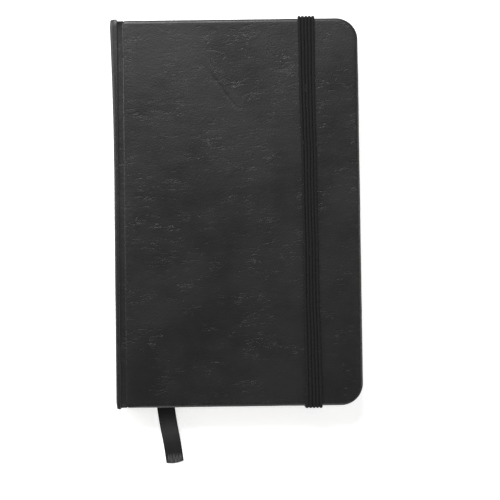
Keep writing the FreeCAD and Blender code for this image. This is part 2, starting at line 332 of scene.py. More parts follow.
def leather_relief(name):
    """Pebbled grain, short winding creases and soft puckers, as one height and masks."""
    tree, inp, out = new_group(
        name,
        [("Coordinates", "NodeSocketVector", None), ("Grain Size", "NodeSocketFloat", 0.00045),
         ("Grain", "NodeSocketFloat", 0.35), ("Creases", "NodeSocketFloat", 0.3)],
        [("Height", "NodeSocketFloat"), ("Crease", "NodeSocketFloat"), ("Cloud", "NodeSocketFloat")],
    )
    place = inp.outputs["Coordinates"]
    scale = math_node(tree, "DIVIDE", 1.0, inp.outputs["Grain Size"])
    cells = add_node(tree, "ShaderNodeTexVoronoi", {"Vector": place, "Scale": scale}, feature="SMOOTH_F1")
    pebbles = math_node(tree, "MULTIPLY", cells.outputs["Distance"], inp.outputs["Grain"])
    warp = noise_value(tree, place, 160.0, 2.0)
    along = stretched(tree, place, (165.0, 760.0, 760.0), (0.0, 0.0, -0.14))
    shifted = add_node(tree, "ShaderNodeVectorMath", {0: along, 1: math_node(tree, "MULTIPLY", warp, 3.2)},
                       operation="ADD").outputs[0]
    wander = noise_value(tree, shifted, 1.0, 2.0, 0.55, 0.7)
    away = math_node(tree, "ABSOLUTE", math_node(tree, "SUBTRACT", wander, 0.5))
    line = map_range(tree, away, 0.0, 0.06, 1.0, 0.0)
    cluster = map_range(tree, noise_value(tree, place, 75.0, 3.0, 0.6), 0.34, 0.68)
    broken = map_range(tree, noise_value(tree, stretched(tree, place, (200.0, 640.0, 640.0)), 1.0, 1.0),
                       0.44, 0.6)
    crease = math_node(tree, "MULTIPLY", math_node(tree, "MULTIPLY", line, cluster), broken)
    depth = math_node(tree, "MULTIPLY", crease, inp.outputs["Creases"])
    cloud = noise_value(tree, place, 45.0, 4.0, 0.6)
    dips = noise_value(tree, stretched(tree, place, (110.0, 210.0, 210.0)), 1.0, 2.0)
    pucker = math_node(tree, "MULTIPLY", dips, 0.7)
    height = math_node(tree, "SUBTRACT", math_node(tree, "ADD", pebbles, pucker), depth)
    tree.links.new(height, out.inputs["Height"])
    tree.links.new(crease, out.inputs["Crease"])
    tree.links.new(cloud, out.inputs["Cloud"])
    return tree


def cloth_weave(name):
    """Crossing threads from a cloth's own UV map: a height and a mask of the raised threads."""
    tree, inp, out = new_group(
        name,
        [("Coordinates", "NodeSocketVector", None), ("Across", "NodeSocketFloat", 0.00035),
         ("Along", "NodeSocketFloat", 0.0003)],
        [("Height", "NodeSocketFloat"), ("Fuzz", "NodeSocketFloat")],
    )
    parts = add_node(tree, "ShaderNodeSeparateXYZ", {0: inp.outputs["Coordinates"]})
    waves = []
    for axis, pitch in (("X", "Across"), ("Y", "Along")):
        turns = math_node(tree, "DIVIDE", parts.outputs[axis], inp.outputs[pitch])
        waves.append(math_node(tree, "SINE", math_node(tree, "MULTIPLY", turns, 2 * math.pi)))
    crossed = math_node(tree, "MULTIPLY", waves[0], waves[1])
    height = math_node(tree, "ADD", math_node(tree, "MULTIPLY", crossed, 0.25),
                       math_node(tree, "MULTIPLY", waves[1], 0.25))
    fuzz = noise_value(tree, inp.outputs["Coordinates"], 2600.0, 3.0, 0.7)
    tree.links.new(height, out.inputs["Height"])
    tree.links.new(fuzz, out.inputs["Fuzz"])
    return tree


def paper_fibres(name):
    """Faint fibres and mottling of uncoated paper."""
    tree, inp, out = new_group(
        name,
        [("Coordinates", "NodeSocketVector", None), ("Fibre Size", "NodeSocketFloat", 0.0004)],
        [("Height", "NodeSocketFloat"), ("Mottle", "NodeSocketFloat")],
    )
    scale = math_node(tree, "DIVIDE", 1.0, inp.outputs["Fibre Size"])
    fibres = noise_value(tree, inp.outputs["Coordinates"], scale, 4.0, 0.65, 0.6)
    mottle = noise_value(tree, inp.outputs["Coordinates"], 90.0, 3.0, 0.6)
    tree.links.new(fibres, out.inputs["Height"])
    tree.links.new(mottle, out.inputs["Mottle"])
    return tree


# ---------------------------------------------------------------- materials


def grey(value):
    """A neutral colour with full alpha."""
    return (value, value, value, 1.0)


def leatherette(settings):
    """Semi-matt black imitation leather."""
    found = bpy.data.materials.get("black_leatherette")
    if found:
        return found
    tone = settings.leather_colour[0]
    material, tree, shader = new_material("black_leatherette", tuple(settings.leather_colour), 0.5, IOR=1.5)
    place = object_coordinates(tree)
    relief = use_group(tree, leather_relief, {
        "Coordinates": place, "Grain Size": settings.grain_size,
        "Grain": settings.grain_depth, "Creases": settings.crease_depth,
    })
    cloud = relief.outputs["Cloud"]
    base = mix_colours(tree, cloud, grey(tone * 0.8), grey(tone * 1.2))
    # Edge wear and painted highlight: the rolled edges are painted lighter, towards grey(tone * 3.2), partly
    # as wear and partly as a painted highlight where light catches them.
    wear_and_highlight_mask = add_node(tree, "ShaderNodeAttribute", attribute_name="edge_wear_and_highlight").outputs["Fac"]
    speckle = map_range(tree, noise_value(tree, place, 900.0, 3.0, 0.7), 0.42, 0.7)
    rubbed_and_highlit = math_node(tree, "MULTIPLY", wear_and_highlight_mask, speckle)
    edge = mix_colours(tree, rubbed_and_highlit, base, grey(tone * 3.2))
    # Painted shade: the creases are painted darker, towards grey(tone * 0.7), as shade in them.
    colour = mix_colours(tree, relief.outputs["Crease"], edge, grey(tone * 0.7))
    tree.links.new(colour, shader.inputs["Base Color"])
    matt = settings.leather_roughness
    gloss = map_range(tree, cloud, 0.3, 0.7, matt - 0.05, matt + 0.06)
    tree.links.new(math_node(tree, "SUBTRACT", gloss, math_node(tree, "MULTIPLY", rubbed_and_highlit, 0.1)),
                   shader.inputs["Roughness"])
    height = math_node(tree, "SUBTRACT", relief.outputs["Height"], long_crease(tree, place))
    bump(tree, shader, height, 0.0001)
    return material


def long_crease(tree, place):
    """One soft wavy crease across the upper half of the front cover, as a depth."""
    middle, slant = (-4.5 * MM, 44.5 * MM, BOOK_TOP), math.radians(53)
    centre = add_node(tree, "ShaderNodeVectorMath", {0: place, 1: middle}, operation="SUBTRACT")
    turned = stretched(tree, centre.outputs[0], (1.0, 1.0, 1.0), (0.0, 0.0, slant))
    parts = add_node(tree, "ShaderNodeSeparateXYZ", {0: turned})
    wander = math_node(tree, "SUBTRACT", noise_value(tree, place, 110.0, 2.0), 0.5)
    sway = math_node(tree, "MULTIPLY", wander, 2.2 * MM)
    aside = math_node(tree, "ABSOLUTE", math_node(tree, "ADD", parts.outputs["Y"], sway))
    near = map_range(tree, aside, 0.0, 0.0011, 1.0, 0.0)
    along = map_range(tree, math_node(tree, "ABSOLUTE", parts.outputs["X"]), 0.005, 0.0115, 1.0, 0.0)
    front = map_range(tree, math_node(tree, "ABSOLUTE", parts.outputs["Z"]), 0.001, 0.002, 1.0, 0.0)
    return math_node(tree, "MULTIPLY", math_node(tree, "MULTIPLY", near, along), math_node(
        tree, "MULTIPLY", front, 0.8))


def paper(name, colour, ruled=None):
    """Uncoated ivory paper. ruled is the pitch and the colour of its faint lines."""
    found = bpy.data.materials.get(name)
    if found:
        return found
    material, tree, shader = new_material(name, tuple(colour), 0.85, IOR=1.45)
    place = object_coordinates(tree)
    fibres = use_group(tree, paper_fibres, {"Coordinates": place})
    dark = (*(c * 0.93 for c in colour), 1.0)
    light = (*(min(1.0, c * 1.03) for c in colour), 1.0)
    base = mix_colours(tree, fibres.outputs["Mottle"], dark, light)
    if ruled:
        pitch, ink = ruled
        parts = add_node(tree, "ShaderNodeSeparateXYZ", {0: place})
        normal = add_node(tree, "ShaderNodeTexCoord").outputs["Normal"]
        facing = add_node(tree, "ShaderNodeSeparateXYZ", {0: normal})
        flat = map_range(tree, math_node(tree, "ABSOLUTE", facing.outputs["Z"]), 0.5, 0.8)
        rows = math_node(tree, "DIVIDE", math_node(tree, "ADD", parts.outputs["Y"], 1.0), pitch)
        aside = math_node(tree, "SUBTRACT", math_node(tree, "FRACT", rows), 0.5)
        line = math_node(tree, "LESS_THAN", math_node(tree, "ABSOLUTE", aside), 0.018)
        top = math_node(tree, "LESS_THAN", parts.outputs["Y"], HALF_BLOCK - 1.6 * pitch)
        mask = math_node(tree, "MULTIPLY", math_node(tree, "MULTIPLY", line, top), flat)
        base = mix_colours(tree, mask, base, (*ink, 1.0))
    tree.links.new(base, shader.inputs["Base Color"])
    bump(tree, shader, fibres.outputs["Height"], 0.00002)
    return material


def board_stock():
    """Grey pulp board, flecked."""
    found = bpy.data.materials.get("pulp_board")
    if found:
        return found
    material, tree, shader = new_material("pulp_board", (0.36, 0.34, 0.31), 0.9)
    place = object_coordinates(tree)
    fibres = use_group(tree, paper_fibres, {"Coordinates": place, "Fibre Size": 0.0012})
    base = mix_colours(tree, fibres.outputs["Mottle"], (0.3, 0.28, 0.25, 1.0), (0.44, 0.42, 0.38, 1.0))
    fleck = map_range(tree, noise_value(tree, place, 1500.0, 2.0), 0.68, 0.74)
    tree.links.new(mix_colours(tree, fleck, base, (0.16, 0.15, 0.13, 1.0)), shader.inputs["Base Color"])
    bump(tree, shader, fibres.outputs["Height"], 0.00006)
    return material


def woven(name, colour, roughness, across, along, depth, sheen=0.0, end_light=None):
    """Woven cloth on a UV map in metres. end_light is where along the cloth it turns paler."""
    found = bpy.data.materials.get(name)
    if found:
        return found
    material, tree, shader = new_material(name, colour, roughness, Sheen_Weight=sheen, Sheen_Roughness=0.4,
                                          Specular_IOR_Level=0.3)
    place = add_node(tree, "ShaderNodeUVMap", uv_map="Cloth").outputs["UV"]
    weave = use_group(tree, cloth_weave, {"Coordinates": place, "Across": across, "Along": along})
    fuzz = weave.outputs["Fuzz"]
    dark, light = (*(c * 0.65 for c in colour), 1.0), (*(c * 1.5 for c in colour), 1.0)
    base = mix_colours(tree, fuzz, dark, light)
    if name == "ribbed_elastic":
        # Painted shade: the grooves between the elastic's ribs are painted darker, towards a seventh of the
        # colour.
        hollow = add_node(tree, "ShaderNodeAttribute", attribute_name="hollow").outputs["Fac"]
        base = mix_colours(tree, hollow, base, (*(c * 0.15 for c in colour), 1.0))
    if end_light:
        start, stop, half_width = end_light
        parts = add_node(tree, "ShaderNodeSeparateXYZ", {0: place})
        streak = noise_value(tree, stretched(tree, place, (2600.0, 420.0, 1.0)), 1.0, 3.0, 0.6)
        fade = map_range(tree, math_node(tree, "ADD", parts.outputs["Y"], math_node(
            tree, "MULTIPLY", math_node(tree, "SUBTRACT", streak, 0.5), 0.004)), start, stop)
        frost = math_node(tree, "MULTIPLY", fade, map_range(tree, streak, 0.36, 0.62))
        base = mix_colours(tree, frost, base, (*(min(1.0, c * 9.0) for c in colour), 1.0))
        aside = math_node(tree, "ABSOLUTE", parts.outputs["X"])
        selvage = map_range(tree, aside, half_width * 0.78, half_width * 0.9)
        base = mix_colours(tree, selvage, base, (*(c * 0.55 for c in colour), 1.0))
    tree.links.new(base, shader.inputs["Base Color"])
    matt = map_range(tree, fuzz, 0.3, 0.7, roughness - 0.06, roughness + 0.08)
    tree.links.new(matt, shader.inputs["Roughness"])
    bump(tree, shader, weave.outputs["Height"], depth)
    return material


# ---------------------------------------------------------------- case


def plate_columns(x0, x1, half, hinge_radius, fore_radius, cell):
    """A grid over a plate with rounded corners: points by column and row."""
    nf, nh = max(4, round(fore_radius / cell)), 2
    nx = round((x1 - x0 - fore_radius - hinge_radius) / cell)
    xs = np.concatenate([
        x0 + hinge_radius * np.arange(nh) / nh,
        np.linspace(x0 + hinge_radius, x1 - fore_radius, nx + 1)[:-1],
        x1 - fore_radius + fore_radius * np.arange(nf + 1) / nf,
    ])
    ny = 2 * nf + round(2 * (half - fore_radius) / cell)

    def rows(radius, n):
        ends = radius * np.arange(n) / n
        middle = np.linspace(-(half - radius), half - radius, ny - 2 * n + 1)
        return np.concatenate([-half + ends, middle[:-1], half - radius + radius * np.arange(n + 1) / n])

    share = np.clip((xs - xs[0]) / (x1 - fore_radius - xs[0]), 0, 1)[:, None]
    ys = rows(hinge_radius, nh) * (1 - share) + rows(fore_radius, nf) * share
    grid = np.stack([np.repeat(xs[:, None], ny + 1, 1), ys], -1)
    for n, radius, centre_x, side in (
        (nf, fore_radius, x1 - fore_radius, 1), (nh, hinge_radius, x0 + hinge_radius, -1),
    ):
        for a in range(n + 1):
            for b in range(n + 1):
                if a == b == 0:
                    continue
                reach = radius * max(a, b) / n
                angle = math.pi / 4 * b / a if a >= b else math.pi / 2 - math.pi / 4 * a / b
                i = len(xs) - 1 - n + a if side > 0 else n - a
                dx, dy = side * reach * math.cos(angle), reach * math.sin(angle)
                grid[i, ny - n + b] = centre_x + dx, half - radius + dy
                grid[i, n - b] = centre_x + dx, -(half - radius + dy)
    return grid


def border_of(columns, rows):
    """Indices round a grid's border, and how many there are along each side."""
    down = [(0, j) for j in range(rows - 1)]
    right = [(i, rows - 1) for i in range(columns - 1)]
    up = [(columns - 1, j) for j in range(rows - 1, 0, -1)]
    left = [(i, 0) for i in range(columns - 1, 0, -1)]
    return down + right + up + left


def cover_skin(name, low, high, outward, settings, material):
    """Leatherette over one cover: outer face, rolled edges and edges turned in on the inner face.

    outward is 1 for the front cover and -1 for the back cover.
    """
    roll, drop, under = settings.edge_roll, settings.edge_drop, 0.5 * MM
    outer_z, inner_z = (high.z, low.z) if outward > 0 else (low.z, high.z)
    x0, x1, half = low.x + roll, high.x - roll, high.y - roll
    hinge, fore = 0.12 * MM, settings.corner_radius - roll
    grid = plate_columns(x0, x1, half, hinge, fore, settings.cover_cell)
    columns, rows = grid.shape[:2]
    seed = 3 if outward > 0 else 8
    points, wear_and_highlight_levels = [], []

    def groove_dip(x):
        """How far the face sinks toward the groove."""
        return 0.22 * MM * float(1 - smoothstep((x - x0) / (3.5 * MM)))

    for x, y in grid.reshape(-1, 2):
        wave = 0.6 * soft_noise(x, y, 24 * MM, seed) + 0.4 * soft_noise(x, y * 1.6, 9 * MM, seed + 1)
        edge = min(x - x0, x1 - x, half - abs(y)) / (4 * MM)
        sink = settings.cover_wave * (0.5 + 0.5 * wave) * float(smoothstep(edge))
        points.append((x, y, outer_z - outward * (sink + groove_dip(x))))
        # Level of edge wear and painted highlight, rising towards the edges.
        wear_and_highlight_levels.append(0.35 * float(1 - smoothstep(edge * 2.5)))
    faces = [
        (i * rows + j, (i + 1) * rows + j, (i + 1) * rows + j + 1, i * rows + j + 1)
        for i in range(columns - 1) for j in range(rows - 1)
    ]
    border = border_of(columns, rows)
    flat = np.array([grid[i, j] for i, j in border])
    centre = np.stack([
        np.clip(flat[:, 0], x0 + hinge, x1 - fore),
        np.where(flat[:, 0] > x1 - fore, np.clip(flat[:, 1], -half + fore, half - fore),
                 np.clip(flat[:, 1], -half + hinge, half - hinge)),
    ], -1)
    away = flat - centre
    away /= np.linalg.norm(away, axis=1)[:, None]
    profile = [(roll * math.sin(a), drop * (1 - math.cos(a))) for a in np.radians(np.arange(10, 91, 10))]
    depth = abs(high.z - low.z)
    profile += [(roll, drop + 0.4 * (depth - drop - under))]
    profile += [(roll - under * (1 - math.cos(a)), depth - under * (1 - math.sin(a)))
                for a in np.radians(np.arange(0, 91, 22.5))]
    rings = [[i * rows + j for i, j in border]]
    for k, (reach, fall) in enumerate(profile):
        ring = []
        for (x, y), (nx, ny) in zip(flat, away):
            dip = groove_dip(x) * max(0.0, 1 - fall / drop)
            wobble = 0.05 * MM * soft_noise(x + k * MM, y, 6 * MM, seed + 2)
            ring.append(len(points))
            points.append((x + nx * (reach + wobble), y + ny * (reach + wobble),
                           outer_z - outward * (fall + dip)))
            # Edge wear and painted highlight grow over the roll and stay lower down the side.
            wear_and_highlight_levels.append(min(1.0, 0.35 + 0.65 * fall / drop) if fall < depth * 0.6 else 0.4)
        rings.append(ring)
    window = (low.x + settings.wrap_thickness, high.x - settings.turn_in, high.y - settings.turn_in)
    for share in (0.25, 0.6, 1.0):
        ring = []
        for k, (x, y) in enumerate(flat):
            start = np.array(points[rings[len(profile)][k]][:2])
            goal = np.array([np.clip(x, window[0], window[1]), np.clip(y, -window[2], window[2])])
            spot = start + (goal - start) * share
            ring.append(len(points))
            points.append((spot[0], spot[1], inner_z))
            wear_and_highlight_levels.append(0.0)
        rings.append(ring)
    for a, b in zip(rings, rings[1:]):
        n = len(a)
        faces += [(a[k], a[(k + 1) % n], b[(k + 1) % n], b[k]) for k in range(n)]
    mesh = bpy.data.meshes.new(name)
    mesh.from_pydata(points, [], faces)
    layer = mesh.attributes.new("edge_wear_and_highlight", "FLOAT", "POINT")
    layer.data.foreach_set("value", wear_and_highlight_levels)
    tidy_mesh(mesh, 2e-6)
    face_out(mesh, outward)
    mesh.materials.append(material)
    mesh.shade_smooth()
    piece = bpy.data.objects.new(name, mesh)
    bpy.context.scene.collection.objects.link(piece)
    wall = piece.modifiers.new("wall", "SOLIDIFY")
    wall.thickness, wall.offset = settings.wrap_thickness - SKIN_GAP, -1.0
    finished(piece)
    sharpen(piece.data, 50)
    return piece


def face_out(mesh, outward):
    """Turns an open skin over if its outer face looks the wrong way."""
    level = [f for f in mesh.polygons if abs(f.normal.z) > 0.99]
    outer = max(level, key=lambda f: f.center.z * outward)
    if outer.normal.z * outward < 0:
        mesh.flip_normals()


def spine_path(inset, radius, steps=7):
    """The spine's outline in x and z at one inset, from the back joint round to the front joint."""
    x0, x1 = SPINE_LOW.x + inset, SPINE_HIGH.x
    z0, z1 = SPINE_LOW.z + inset, SPINE_HIGH.z - inset
    r = radius - inset
    turn = np.radians(np.linspace(0, 90, steps))
    lower = [(x0 + r - r * math.sin(a), z0 + r - r * math.cos(a)) for a in turn]
    upper = [(x0 + r - r * math.cos(a), z1 - r + r * math.sin(a)) for a in turn]
    middle = [(x0, z0 + r + (z1 - z0 - 2 * r) * t) for t in (0.25, 0.5, 0.75)]
    return [(x1, z0)] + lower + middle + upper + [(x1, z1)]


def spine_skin(settings, material):
    """Leatherette round the spine card, flared at the head and turned in at both ends."""
    cap, card = SPINE_HIGH.y, CARD_HIGH.y
    stations = [(-cap, 0.34), (-cap + 0.04 * MM, 0.2), (-cap + 0.16 * MM, 0.08), (-card, 0.0)]
    inner = list(np.linspace(-card, card, 64))
    ends = [(-y, inset) for y, inset in reversed(stations)]
    rings = []
    thickness = settings.wrap_thickness - SKIN_GAP
    for y, inset, solid in (
        [(y, i * MM, True) for y, i in stations] + [(y, 0.0, False) for y in inner]
        + [(y, i * MM, True) for y, i in ends]
    ):
        flare = settings.spine_flare * float(np.clip((y - 0.2 * cap) / (0.8 * cap), 0, 1)) ** 1.9
        near = max(0.0, abs(y) - (cap - settings.shoulder_radius)) / settings.shoulder_radius
        turn_in = settings.shoulder_radius * (1 - math.sqrt(max(0.0, 1 - near * near))) * 0.8
        outer = spine_path(inset, settings.shoulder_radius)
        hollow = [(SPINE_HIGH.x, z) for _, z in reversed(outer)] if solid else list(
            reversed(spine_path(thickness, settings.shoulder_radius)))
        ring = []
        for x, z in outer + hollow:
            reach = (SPINE_HIGH.x - x) / (SPINE_HIGH.x - SPINE_LOW.x)
            ripple = 0.05 * MM * soft_noise(z * 2, y, 14 * MM, 5) * reach
            ring.append((x + (turn_in - flare - ripple) * reach, y, z))
        rings.append(ring)
    points, faces = loft(rings)
    piece = make_piece("spine_leatherette", points, faces, material)
    # Mask of edge wear and painted highlight: lighter towards both caps.
    layer = piece.data.attributes.new("edge_wear_and_highlight", "FLOAT", "POINT")
    layer.data.foreach_set("value", [
        0.8 * float(smoothstep((abs(v.co.y) - cap + 3 * MM) / (3 * MM))) + 0.15 for v in piece.data.vertices])
    sharpen(piece.data, 50)
    return piece


def groove_skin(name, outward, material):
    """The flexible strip along one groove, from the spine's shoulder down and up to the cover's edge."""
    low, high = (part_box("front_joint") if outward > 0 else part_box("back_joint"))
    face = BOOK_TOP if outward > 0 else 0.0
    floor = low.z if outward < 0 else high.z
    depth = 0.6 * abs(face - floor)
    x0, x1 = low.x - 0.25 * MM, high.x + 0.55 * MM
    thickness = 0.3 * MM
    rings = []
    reach = HALF_COVER - 0.1 * MM
    for y in np.linspace(-reach, reach, 90):
        ends = float(smoothstep((abs(y) - reach + 1.6 * MM) / (1.6 * MM)))
        pressed = 1 + 0.7 * float(smoothstep((y - 0.35 * reach) / (0.65 * reach)))
        top, under = [], []
        for t in np.linspace(0, 1, 15):
            bowl = math.sin(math.pi * t ** 0.65) ** 0.7
            fall = (0.12 * MM + 0.45 * MM * t) * (1 - bowl) + depth * pressed * bowl * (1 - 0.3 * ends)
            x = x0 + (x1 - x0) * t
            pucker = 0.04 * MM * soft_noise(x, y, 5 * MM, 11) * bowl
            top.append((x, y, face - outward * (fall + pucker)))
            under.append((x, y, face - outward * (fall + pucker + thickness)))
        rings.append(top + under[::-1])
    points, faces = loft(rings)
    piece = make_piece(name, points, faces, material)
    layer = piece.data.attributes.new("edge_wear_and_highlight", "FLOAT", "POINT")
    layer.data.foreach_set("value", [0.1] * len(piece.data.vertices))
    sharpen(piece.data, 60)
    return piece


# ---------------------------------------------------------------- block


def leaf_half_height(x, radius):
    """Half the height of a page at one x, less where its fore corners are rounded."""
    beyond = x - (BLOCK_HIGH.x - radius)
    if beyond <= 0:
        return HALF_BLOCK
    return HALF_BLOCK - radius + math.sqrt(max(0.0, radius * radius - beyond * beyond))


def leaf_rings(stations, z, thickness, radius):
    """Four corners of a leaf's section at each station across the page."""
    rings = []
    for x in stations:
        h = leaf_half_height(x, radius)
        rings.append([(x, -h, z), (x, h, z), (x, h, z + thickness), (x, -h, z + thickness)])
    return rings


def page_stations(start, radius, middle=1):
    """Stations across a page, close together round its fore corners."""
    straight = np.linspace(start, BLOCK_HIGH.x - radius, middle + 1)
    corner = BLOCK_HIGH.x - radius + radius * np.sin(np.radians(np.arange(10, 91, 10)))
    return list(straight) + list(corner)


def stacking_tree():
    """Geometry nodes that stack copies of a leaf, each a little out of line with the last."""
    tree = bpy.data.node_groups.new("Leaf Stack", "GeometryNodeTree")
    sockets = {}
    for label, kind in (
        ("Leaf", "NodeSocketGeometry"), ("Leaves", "NodeSocketInt"), ("Pitch", "NodeSocketFloat"),
        ("Unevenness", "NodeSocketFloat"), ("Seed", "NodeSocketInt"), ("Paper", "NodeSocketMaterial"),
    ):
        sockets[label] = tree.interface.new_socket(label, in_out="INPUT", socket_type=kind).identifier
    tree.interface.new_socket("Stack", in_out="OUTPUT", socket_type="NodeSocketGeometry")
    inp, out = tree.nodes.new("NodeGroupInput"), tree.nodes.new("NodeGroupOutput")
    step = add_node(tree, "ShaderNodeCombineXYZ", {"Z": inp.outputs["Pitch"]})
    line = add_node(tree, "GeometryNodeMeshLine", {"Count": inp.outputs["Leaves"], "Offset": step.outputs[0]})
    shift = add_node(tree, "ShaderNodeCombineXYZ", {0: 1.0, 1: 1.0, 2: 0.0})
    reach = add_node(tree, "ShaderNodeVectorMath", {0: shift.outputs[0], "Scale": inp.outputs["Unevenness"]},
                     operation="SCALE")
    back = add_node(tree, "ShaderNodeVectorMath", {0: reach.outputs[0], "Scale": -1.0}, operation="SCALE")
    offset = add_node(tree, "FunctionNodeRandomValue",
                      {"Min": back.outputs[0], "Max": reach.outputs[0], "Seed": inp.outputs["Seed"]},
                      data_type="FLOAT_VECTOR")
    moved = add_node(tree, "GeometryNodeSetPosition",
                     {"Geometry": line.outputs[0], "Offset": offset.outputs[0]})
    copies = add_node(tree, "GeometryNodeInstanceOnPoints",
                      {"Points": moved.outputs[0], "Instance": inp.outputs["Leaf"]})
    real = add_node(tree, "GeometryNodeRealizeInstances", {"Geometry": copies.outputs[0]})
    painted = add_node(tree, "GeometryNodeSetMaterial",
                       {"Geometry": real.outputs[0], "Material": inp.outputs["Paper"]})
    tree.links.new(painted.outputs[0], out.inputs[0])
    return tree, sockets


def apply_nodes(piece, tree, sockets, values):
    """Runs a geometry tree on a piece and keeps its result as plain mesh."""
    modifier = piece.modifiers.new("nodes", "NODES")
    modifier.node_group = tree
    for label, value in values.items():
        modifier[sockets[label]] = value
    return finished(piece)


def fold_parts(low, high, leaves, thickness):
    """The nested folds of one signature, as half rings along the spine."""
    parts = []
    middle = (low + high) / 2
    half = HALF_BLOCK
    for sheet in range((leaves + 1) // 2):
        outer = (high - low) / 2 - sheet * thickness
        inner = max(outer - thickness * LEAF_FILL, 0.012 * MM)
        centre = BLOCK_LOW.x + (high - low) / 2
        angles = np.radians(np.linspace(90, 270, 9))
        ring = [(centre + outer * math.cos(a), middle + outer * math.sin(a)) for a in angles]
        ring += [(centre + inner * math.cos(a), middle + inner * math.sin(a)) for a in angles[::-1]]
        uneven = 0.03 * MM * math.sin(7.0 * sheet + 900 * middle)
        parts.append(loft([[(x, y, z) for x, z in ring] for y in (-half + uneven, half + uneven)]))
    return parts


def stitch_tree():
    """Geometry nodes that set equal stitches in a row along a fold."""
    tree = bpy.data.node_groups.new("Stitch Row", "GeometryNodeTree")
    sockets = {}
    for label, kind in (("Stitch", "NodeSocketGeometry"), ("Stitches", "NodeSocketInt"),
                        ("Pitch", "NodeSocketFloat"), ("Start", "NodeSocketVector"),
                        ("Thread", "NodeSocketMaterial")):
        sockets[label] = tree.interface.new_socket(label, in_out="INPUT", socket_type=kind).identifier
    tree.interface.new_socket("Row", in_out="OUTPUT", socket_type="NodeSocketGeometry")
    inp, out = tree.nodes.new("NodeGroupInput"), tree.nodes.new("NodeGroupOutput")
    step = add_node(tree, "ShaderNodeCombineXYZ", {"Y": inp.outputs["Pitch"]})
    line = add_node(tree, "GeometryNodeMeshLine", {
        "Count": inp.outputs["Stitches"], "Start Location": inp.outputs["Start"], "Offset": step.outputs[0]})
    copies = add_node(tree, "GeometryNodeInstanceOnPoints",
                      {"Points": line.outputs[0], "Instance": inp.outputs["Stitch"]})
    real = add_node(tree, "GeometryNodeRealizeInstances", {"Geometry": copies.outputs[0]})
    painted = add_node(tree, "GeometryNodeSetMaterial",
                       {"Geometry": real.outputs[0], "Material": inp.outputs["Thread"]})
    tree.links.new(painted.outputs[0], out.inputs[0])
    return tree, sockets


def stitch_rings(length, radius):
    """One stitch, centred: a run of thread with both ends turned out through the fold."""
    rings = []
    path = [(-0.3 * MM, -length / 2), (-0.1 * MM, -length / 2), (0.0, -length / 2 + 0.2 * MM)]
    path += [(0.0, y) for y in np.linspace(-length / 2 + 1.2 * MM, length / 2 - 1.2 * MM, 9)]
    path += [(0.0, length / 2 - 0.2 * MM), (-0.1 * MM, length / 2), (-0.3 * MM, length / 2)]
    for k, (x, y) in enumerate(path):
        before, after = path[max(k - 1, 0)], path[min(k + 1, len(path) - 1)]
        along = Vector((after[0] - before[0], after[1] - before[1], 0)).normalized()
        side = Vector((along.y, -along.x, 0))
        rings.append([
            tuple(Vector((x, y, 0)) + side * radius * math.cos(a) + Vector((0, 0, radius * math.sin(a))))
            for a in np.linspace(0, 2 * math.pi, 8, endpoint=False)
        ])
    return rings


# ---------------------------------------------------------------- band and ribbon


def ribbed_section(width, thickness, ribs, depth, drift, steps=6):
    """The band's section: places across it and heights over its middle line, ribs on both faces."""
    across = np.linspace(0, 1, ribs * steps + 1)
    swell = np.abs(np.sin(math.pi * ribs * across)) ** 0.55
    x = (across - 0.5 + drift * np.sin(math.pi * across) ** 2) * width
    top = thickness / 2 - depth * (1 - swell)
    top[0] = top[-1] = thickness * 0.12
    under = -top[::-1] * 0.9
    return np.concatenate([x, x[::-1]]), np.concatenate([top, under])


def band_rings(path, normals, widths, settings, seed):
    """Rings of the ribbed band along a path in the y-z plane, and their places on the cloth."""
    rings, places, gone = [], [], 0.0
    for k, ((x, y, z), (ny, nz), width) in enumerate(zip(path, normals, widths)):
        if k:
            gone += math.dist(path[k - 1], path[k])
        drift = 0.045 * noise.noise(Vector((seed, gone / (11 * MM), 0.0)))
        sway = settings.band_sway * noise.noise(Vector((seed + 5, gone / (26 * MM), 0.0)))
        across, height = ribbed_section(width, settings.band_thickness, settings.rib_count,
                                        settings.rib_depth, drift)
        rings.append([(x + a + sway, y + ny * h, z + nz * h) for a, h in zip(across, height)])
        places.append([(a, gone) for a in across])
    return rings, places


def store_groove_shade(piece, settings, steps=6):
    """Stores how deep each point lies between the ribs, for the painted shade in the elastic's grooves."""
    across = np.linspace(0, 1, settings.rib_count * steps + 1)
    hollow = 1 - np.abs(np.sin(math.pi * settings.rib_count * across)) ** 0.8
    around = np.concatenate([hollow, hollow[::-1]])
    layer = piece.data.attributes.new("hollow", "FLOAT", "POINT")
    layer.data.foreach_set("value", np.resize(around, len(piece.data.vertices)).astype(np.float32))


